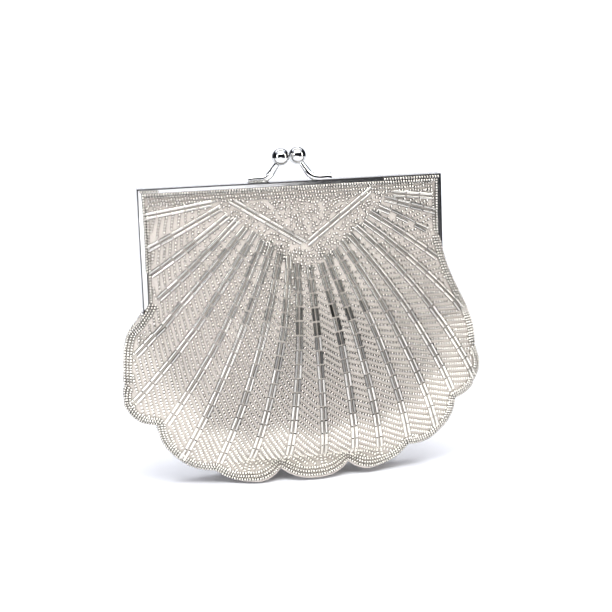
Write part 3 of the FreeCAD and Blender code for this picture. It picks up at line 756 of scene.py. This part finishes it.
def thread_tree(name, scattered):
    """Beads strung along threads, or scattered over a patch of cloth."""
    tree = bpy.data.node_groups.new(name, "GeometryNodeTree")
    tree.interface.new_socket("Geometry", in_out="OUTPUT", socket_type="NodeSocketGeometry")
    for label, kind in (("Geometry", "Geometry"), ("Bead", "Object"), ("Pitch", "Float"), ("Tilt", "Float"),
                        ("Uneven", "Float"), ("Finish", "Material"), ("Seed", "Int")):
        tree.interface.new_socket(label, in_out="INPUT", socket_type="NodeSocket" + kind)
    given = add(tree, "NodeGroupInput").outputs
    if scattered:
        spots = add(tree, "GeometryNodeDistributePointsOnFaces", {
            "Mesh": given["Geometry"], "Distance Min": given["Pitch"], "Density Max": 9e5,
            "Seed": given["Seed"],
        }, distribute_method="POISSON")
        spin = add(tree, "FunctionNodeRandomValue", {
            0: (1.25, 0, -3.14), 1: (1.85, 0, 3.14), "Seed": given["Seed"],
        }, data_type="FLOAT_VECTOR")
        turn = add(tree, "FunctionNodeEulerToRotation", {0: spin.outputs[0]})
        laid = add(tree, "FunctionNodeRotateRotation", {
            "Rotation": spots.outputs["Rotation"], "Rotate By": turn.outputs[0],
        }, rotation_space="LOCAL").outputs[0]
    else:
        thread = add(tree, "GeometryNodeMeshToCurve", {"Mesh": given["Geometry"]})
        spots = add(tree, "GeometryNodeCurveToPoints", {
            "Curve": thread.outputs[0], "Length": given["Pitch"],
        }, mode="LENGTH")
        laid = spots.outputs["Rotation"]
    tip = add(tree, "FunctionNodeRandomValue", {
        0: (-1, -1, -3), 1: (1, 1, 3), "Seed": given["Seed"],
    }, data_type="FLOAT_VECTOR")
    lean = add(tree, "ShaderNodeVectorMath", {
        0: tip.outputs[0], "Scale": given["Tilt"],
    }, operation="SCALE")
    lean = add(tree, "FunctionNodeEulerToRotation", {0: lean.outputs[0]})
    laid = add(tree, "FunctionNodeRotateRotation", {"Rotation": laid, "Rotate By": lean.outputs[0]},
               rotation_space="LOCAL")
    size = add(tree, "FunctionNodeRandomValue", {
        2: calculate(tree, "SUBTRACT", 1.0, given["Uneven"]),
        3: calculate(tree, "ADD", 1.0, given["Uneven"]),
        "Seed": given["Seed"],
    }, data_type="FLOAT")
    shape = add(tree, "GeometryNodeObjectInfo", {"Object": given["Bead"]})
    beads = add(tree, "GeometryNodeInstanceOnPoints", {
        "Points": spots.outputs["Points"], "Instance": shape.outputs["Geometry"],
        "Rotation": laid.outputs[0], "Scale": size.outputs[1],
    })
    tone = add(tree, "FunctionNodeRandomValue", {
        2: 0.0, 3: 1.0, "Seed": given["Seed"],
    }, data_type="FLOAT")
    toned = add(tree, "GeometryNodeStoreNamedAttribute", {
        "Geometry": beads.outputs[0], "Name": "tone",
    }, data_type="FLOAT", domain="INSTANCE")
    value = next(s for s in toned.inputs if s.name == "Value" and s.enabled)
    tree.links.new(tone.outputs[1], value)
    real = add(tree, "GeometryNodeRealizeInstances", {"Geometry": toned.outputs[0]})
    done = add(tree, "GeometryNodeSetMaterial", {"Geometry": real.outputs[0], "Material": given["Finish"]})
    add(tree, "NodeGroupOutput", {"Geometry": done.outputs[0]})
    return tree


strung = thread_tree("beads_on_a_thread", False)
sprinkled = thread_tree("beads_sewn_at_random", True)


def beaded(obj, tree, bead, finish, pitch, tilt, uneven, seed):
    """Turns threads, or a patch, into the beads sewn on them."""
    modifier = obj.modifiers.new("beads", "NODES")
    modifier.node_group = tree
    given = {
        "Bead": bead, "Pitch": pitch * MM, "Tilt": tilt, "Uneven": uneven, "Finish": finish, "Seed": seed,
    }
    for item in tree.interface.items_tree:
        if item.in_out == "INPUT" and item.name in given:
            modifier[item.identifier] = given[item.name]
    obj.update_tag()
    settled(obj)
    obj.data.materials.clear()
    obj.data.materials.append(finish)
    return obj


def painted_bead_light(path):
    """How bright the beads sewn along a line are, as painted light: grey below the chevron, a painted dark
    reflection, and warm white near the hem, painted light from the floor.
    """
    hem = np.concatenate(hem_scallops())
    from_hem = to_line(path, hem[:-1], hem[1:] + 1e-6)
    painted_floor_light = ease((FLOOR_LIGHT_DEPTH - from_hem) / 17 + 0.5) * (0.3 + 0.7 * ease(from_hem / 7))
    painted_floor_light *= 0.5 + 0.5 * ease((62 - path[:, 1]) / 38)
    beside_it, above_it = ((path - GREY_MIDDLE) / GREY_REACH).T
    grey = np.exp(-beside_it**2 - above_it**2)
    return (0.42 - 0.4 * grey) * (1 - painted_floor_light) + painted_floor_light


def thread_object(name, runs, light):
    """Threads as edges through the points of each run, with the brightness of the beads at each point."""
    points, edges = [], []
    for run in runs:
        edges += [(len(points) + i, len(points) + i + 1) for i in range(len(run) - 1)]
        points += list(run)
    made = new_object(name, points, edges, [])
    mark(made, "light", light)
    return made


def threads(name, lines, side, lift):
    """Threads laid on a panel along lines of the flat pattern."""
    paths = []
    for path in lines:
        s = measured(path)
        paths.append(at(path, np.linspace(0, s[-1], max(int(s[-1] / 1.1) + 1, 2))))
    light = np.concatenate([painted_bead_light(path) for path in paths])
    return thread_object(name, [on_cloth(path, side, lift) for path in paths], light)


def edge_threads(side):
    """Rows on the turned-back side edges, where they stand clear of the legs."""
    heights = np.linspace(EDGE_LOW + 2, 116, 60)
    closed = turned_back(heights)
    depth = 0.5 * (1 - closed) + (LEG_COVER - SEED_WIDTH / 2) * closed
    runs = []
    for way, limit in ((-1, tight_reach(heights)), (1, loose_reach(heights))):
        for x in np.arange(FRAME_HALF + 1.3, 88, 1.6):
            clear = (x < limit - 0.6) & ((heights > 83) | (x > limit - 2))
            run = np.stack([np.full(60, way * x), -SIDES[side] * depth, heights], 1)[clear] * MM
            if len(run) > 2:
                runs.append(run)
    return thread_object(side + "_seeds_on_turned_edge", runs, [PLAIN_LIGHT] * sum(map(len, runs)))


# Where seeds are sewn at random: inside the chevron, in the band below it, and in the top corners. Each
# patch has its corners on the flat pattern and the least distance between its beads.
PATCHES = (
    ("in_chevron", [(-25.0, 140.0), (5.2, 120.8), (32.6, 140.0)], 1.3),
    ("under_chevron", [
        (-34.5, 140.2), (5.2, 114.6), (42.0, 140.2), (50.0, 140.2), (30.8, 123.6), (12.6, 108.8),
        (5.6, 104.6), (-1.6, 108.8), (-22.0, 124.8), (-38.9, 138.4),
    ], 1.3),
    ("left_corner", [(-71.0, 140.4), (-43.0, 140.4), (-44.5, 139.6), (-71.0, 137.2)], 1.5),
    ("right_corner", [(52.5, 140.6), (71.0, 140.6), (71.0, 139.0), (54.0, 139.9)], 1.5),
)


# ---------------------------------------------------------------- cloth pieces
def beaded_panel(side):
    """A satin panel: one sheet from its cut hem up into the frame, with its side edges turned back to the
    mouths of the legs where it hangs over them."""
    facing = SIDES[side]
    flat, faces = cloth_mesh(CUT_EDGE, 2.6)
    points = list(on_cloth(flat, side))
    faces = [tuple(face) for face in faces]
    count = 34
    for way, top in ((-1, 97), (1, 125)):
        heights = np.linspace(EDGE_LOW, top, count)
        closed = turned_back(heights)
        share = closed[:, None]
        rim = on_cloth(np.stack([way * reach(way * np.ones(count), heights), heights], 1), side) / MM
        mouth_x, mouth_y = way * (MOUTH - 0.1), -facing * LEG_COVER
        mouth = np.stack([np.full(count, mouth_x), np.full(count, mouth_y), heights], 1)
        seam = rim * (1 - share) + mouth * share
        tuck_y = seam[:, 1] * (1 - closed) - facing * TUCK_DEPTH * closed
        tuck = np.stack([seam[:, 0], tuck_y, heights], 1)
        base = len(points)
        points += list(np.stack([rim, rim * 0.5 + seam * 0.5, seam, tuck], 1).reshape(-1, 3) * MM)
        for i in range(count - 1):
            for a in range(base + 4 * i, base + 4 * i + 3):
                faces.append((a, a + 1, a + 5, a + 4))
    made = piece(side + "_satin_panel", points, faces, panel_satin)
    mesh = bmesh.new()
    mesh.from_mesh(made.data)
    bmesh.ops.remove_doubles(mesh, verts=mesh.verts, dist=0.05 * MM)
    bmesh.ops.recalc_face_normals(mesh, faces=mesh.faces)
    mesh.to_mesh(made.data)
    mesh.free()
    made.data.polygons.foreach_set("use_smooth", [True] * len(made.data.polygons))
    centre = min(made.data.polygons, key=lambda p: (p.center - Vector((0, -0.02 * facing, 0.06))).length)
    if centre.normal.y * facing > 0:
        made.data.flip_normals()
    wall = made.modifiers.new("cloth", "SOLIDIFY")
    wall.thickness = CLOTH * MM
    wall.offset = -1
    return settled(made)


lining_reach = smooth([
    (14, 40), (20, 51), (26, 60), (32, 66), (40, 76), (52, 82.5), (66, 84), (76, 80), (90, 71),
])


def lining(side):
    """A satin lining inside a panel, from the bottom seam up into the channel."""
    heights = np.concatenate([np.linspace(14, 88, 38), np.linspace(90, FRAME_TOP - 1.5, 26)])
    columns = 61
    across = np.linspace(-1, 1, columns)
    rows = []
    for z in heights:
        in_frame = float(ease((z - 80) / 8))
        half = float(lining_reach(z))
        half = half * (1 - in_frame) + (MOUTH + 1.4) * in_frame
        x = across * half
        face = forward(np.clip(x, -tight_reach(z), loose_reach(z)), np.full(columns, z)) - 2.3
        rim = 0.5 * (1 - in_frame) + 2.2 * in_frame
        y = np.minimum(rim + np.maximum(face - rim, 0) * (1 - np.abs(across) ** 6), np.maximum(face, rim))
        y = np.maximum(y + 0.4 * np.sin(x / 6 + z / 9) * (1 - across**2) * (1 - in_frame), 0.45)
        rows.append(np.stack([x, -SIDES[side] * y, np.full(columns, z)], 1) * MM)
    corners = [i * columns + j for i in range(len(rows) - 1) for j in range(columns - 1)]
    faces = [(a, a + 1, a + columns + 1, a + columns) for a in corners]
    made = piece(side + "_satin_lining", np.concatenate(rows), faces, lining_satin)
    wall = made.modifiers.new("cloth", "SOLIDIFY")
    wall.thickness = 0.25 * MM
    wall.offset = 0
    return settled(made)


def hang(obj, side, slot):
    """Bakes the piece's placement into its points."""
    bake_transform(obj)
    return obj


for number, side in enumerate(SIDES):
    panel = beaded_panel(side)
    hang(panel, side, "beaded_satin")
    solids = ("panel_upper", "panel_fold", "panel_lower", "scallop_skirt")
    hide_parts(*(side + "_" + n for n in solids))

    lined = lining(side)
    hang(lined, side, "satin_lining")
    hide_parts(*(side + "_" + n for n in ("lining_upper", "lining_fold", "lining_lower")))

    bugles = threads(side + "_bugle_beads", rib_strands() + chevron_strands(), side, BUGLE_WIDTH / 2 + 0.05)
    beaded(bugles, strung, bugle_bead, bugle_glass, BUGLE_PITCH, 0.02, 0.03, 3 + number)
    hang(bugles, side, "beaded_satin")

    gaps = list(zip(sorted(RIBS)[:-1], sorted(RIBS)[1:]))
    for label, pairs in (("left", gaps[:11]), ("right", gaps[11:])):
        rows = [row for pair in pairs for row in seed_rows(*pair)]
        rows += rib_tails([upper for _, upper in pairs])
        seeds = threads(side + "_seed_rows_" + label, rows, side, SEED_WIDTH / 2)
        beaded(seeds, strung, seed_bead, bead_glass, SEED_PITCH, 0.24, 0.08, 11 + number)
        hang(seeds, side, "beaded_satin")

    rows = threads(side + "_seed_rows_at_frame", frame_rows() + side_rows(), side, SEED_WIDTH / 2)
    beaded(rows, strung, seed_bead, bead_glass, SEED_PITCH, 0.22, 0.08, 17 + number)
    hang(rows, side, "beaded_satin")

    for label, corners, spacing in PATCHES:
        runs = [line(a, b, 20)[:-1] for a, b in zip(corners, corners[1:] + corners[:1])]
        flat, faces = cloth_mesh(np.concatenate(runs), 3)
        patch = piece(side + "_seeds_" + label, on_cloth(flat, side, SEED_WIDTH / 2), faces, bead_glass)
        mark(patch, "light", [PLAIN_LIGHT] * len(flat))
        beaded(patch, sprinkled, seed_bead, bead_glass, spacing, 0.1, 0.07, 23 + number)
        hang(patch, side, "beaded_satin")

    spill = threads(side + "_seeds_over_frame", over_the_frame(), side, SEED_WIDTH / 2)
    for point in spill.data.vertices:
        point.co.y = -SIDES[side] * SPILL_DEPTH * MM
    beaded(spill, strung, seed_bead, bead_glass, EDGE_PITCH, 0.12, 0.06, 37 + number)
    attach(spill, side + "_frame")

    turned = edge_threads(side)
    beaded(turned, strung, seed_bead, bead_glass, EDGE_PITCH, 0.12, 0.06, 41 + number)
    hang(turned, side, "beaded_satin")

    hem = threads(side + "_hem_beads", [hem_rows(offset) for offset in HEM_ROWS], side, SEED_WIDTH / 2)
    beaded(hem, strung, seed_bead, bead_glass, HEM_PITCH, 0.2, 0.07, 29 + number)
    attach(hem, "pouch")
    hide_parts(side + "_scallop_edging")

bpy.data.objects.remove(seed_bead)
bpy.data.objects.remove(bugle_bead)

# ---------------------------------------------------------------- finishes of the metal frame and its cords
FINISHES = (
    ("frame_channel", frame_plate), ("clasp", clasp_plate), ("rivet", rivet_plate), ("cord", wedge_paper),
)
for name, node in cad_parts.items():
    for part, finish in FINISHES:
        if part in name:
            node.data.materials.clear()
            node.data.materials.append(finish)

# ---------------------------------------------------------------- room, light and camera
floor_z = min(cad_box[0].z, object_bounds()[0].z) - 0.0002
PAPER_HALF = 0.8                  # half width of the backdrop paper, in metres
PAPER_FRONT = -2.2
BEND_START = 1.3
BEND = 0.6                        # radius of its bend
profile = [(PAPER_FRONT, 0.0), (BEND_START, 0.0)]
for angle in np.linspace(0.1, math.pi / 2, 16):
    profile.append((BEND_START + BEND * math.sin(angle), BEND - BEND * math.cos(angle)))
profile.append((BEND_START + BEND, 2.4))
# The paper is white, and greyer at its front end, out of the picture, where the metal mirrors it.
sweep_paper, tree, shader = new_finish("matt_white_backdrop_paper")
place = from_object(tree)
grain = add(tree, "ShaderNodeTexNoise", {"Vector": place, "Scale": 40.0})
paper_tint = ramp(tree, grain.outputs["Fac"], ((0.2, "#F2F3F9"), (0.8, "#F7F8FD")))
depth = add(tree, "ShaderNodeSeparateXYZ", {0: place}).outputs["Y"]
dim = add(tree, "ShaderNodeMapRange", {
    "Value": depth, "From Min": -1.7, "From Max": -2.0,
}, interpolation_type="SMOOTHSTEP")
paper_tint = blended(tree, dim.outputs[0], paper_tint, colour("#77777B"))
connect(tree, shader, {"Base Color": paper_tint, "Roughness": 0.7, "Specular IOR Level": 0.2})
count = len(profile)
sweep = piece(
    "backdrop_sweep",
    [(x, y, z + floor_z) for x in (-PAPER_HALF, PAPER_HALF) for y, z in profile],
    [(i, count + i, count + i + 1, i + 1) for i in range(count - 1)],
    sweep_paper,
)

# A black card lies in front on the right, out of the picture: the right end of the frame mirrors it.
black_card, tree, shader = new_finish("matt_black_card")
connect(tree, shader, {"Base Color": colour("#18181A"), "Roughness": 0.8})
corners = [(x, y, floor_z + 0.0006) for x, y in ((0.2, -2.0), (0.8, -2.0), (0.8, -0.6), (0.2, -0.6))]
card = piece("black_card", corners, [(0, 1, 2, 3)], black_card)

# A dark room, bright overhead and light grey behind the paper.
world = bpy.data.worlds.new("studio")
bpy.context.scene.world = world
world.use_nodes = True
tree = world.node_tree
tree.nodes.clear()
sky = add(tree, "ShaderNodeTexCoord").outputs["Generated"]
way = add(tree, "ShaderNodeSeparateXYZ", {0: sky}).outputs
height = add(tree, "ShaderNodeMapRange", {"Value": way["Z"], "From Min": -0.1, "From Max": 0.9})
tall = ramp(tree, height.outputs[0], (
    (0.0, "#2B2C30"), (0.7, "#1E1F24"), (0.84, "#DFE7F8"), (1.0, "#FFFFFF"),
))
front = add(tree, "ShaderNodeMapRange", {"Value": way["Y"], "From Min": 0.85, "From Max": 0.6})
room = blended(tree, front.outputs[0], colour("#C4CAD6"), tall)
glow = add(tree, "ShaderNodeBackground", {"Color": room, "Strength": 0.9})
add(tree, "ShaderNodeOutputWorld", {"Surface": glow.outputs[0]})


def soft_box(name, place, aim, width, length, power, tint, mirrored=True):
    """A studio soft box: a rectangle of even light, turned towards a point."""
    lamp = bpy.data.lights.new(name, "AREA")
    lamp.shape = "RECTANGLE"
    lamp.size, lamp.size_y = width, length
    lamp.energy = power
    lamp.color = colour(tint)[:3]
    holder = bpy.data.objects.new(name, lamp)
    holder.location = place
    holder.rotation_euler = (Vector(aim) - Vector(place)).to_track_quat("-Z", "Y").to_euler()
    holder.visible_camera = False
    holder.visible_glossy = mirrored
    bpy.context.scene.collection.objects.link(holder)


soft_box("backdrop_soft_box", (0, 0.7, 1.5), (0, 1.9, 0.5), 2.4, 0.5, 26, "#FFFFFF")
soft_box("front_fill", (-0.2, -1.2, 0.12), (0, 0, 0.03), 1.2, 0.25, 13, "#FFFDFA", mirrored=False)
soft_box("overhead_soft_box", (0.0, -0.62, 1.15), (0, -0.05, 0.0), 1.4, 0.8, 15.5, "#FFFEFB")
soft_box("left_soft_box", (-1.0, -0.75, 0.55), (0, 0, 0.07), 0.25, 0.9, 5, "#F8FBFF")
soft_box("right_soft_box", (1.05, -0.55, 0.5), (0, 0, 0.07), 0.25, 0.9, 4, "#FFFBF4")

AZIMUTH, ELEVATION, ROLL = (math.radians(angle) for angle in (-9.14, 10.41, 2.21))
DISTANCE, LENS = 0.8726, 102.3
LOOKED_AT = Vector((0, 0, 0.0765))
OFF_CENTRE = (0.00615402, 0.0101225)     # how far the lens is turned beside that point, as slopes
back = Vector((
    math.sin(AZIMUTH) * math.cos(ELEVATION), -math.cos(AZIMUTH) * math.cos(ELEVATION), math.sin(ELEVATION),
))
right = Vector((math.cos(AZIMUTH), math.sin(AZIMUTH), 0))
up = back.cross(right)
right, up = (math.cos(ROLL) * right - math.sin(ROLL) * up, math.sin(ROLL) * right + math.cos(ROLL) * up)
facing_back = (back - right * OFF_CENTRE[0] - up * OFF_CENTRE[1]).normalized()
right = up.cross(facing_back).normalized()
up = facing_back.cross(right)
lens = bpy.data.cameras.new("camera")
lens.lens = LENS
lens.sensor_width = 36
camera = bpy.data.objects.new("camera", lens)
place = LOOKED_AT + back * DISTANCE
camera.matrix_world = Matrix((
    (right.x, up.x, facing_back.x, place.x),
    (right.y, up.y, facing_back.y, place.y),
    (right.z, up.z, facing_back.z, place.z),
    (0, 0, 0, 1),
))
bpy.context.scene.collection.objects.link(camera)
bpy.context.scene.camera = camera
bpy.context.scene.view_settings.view_transform = "Standard"
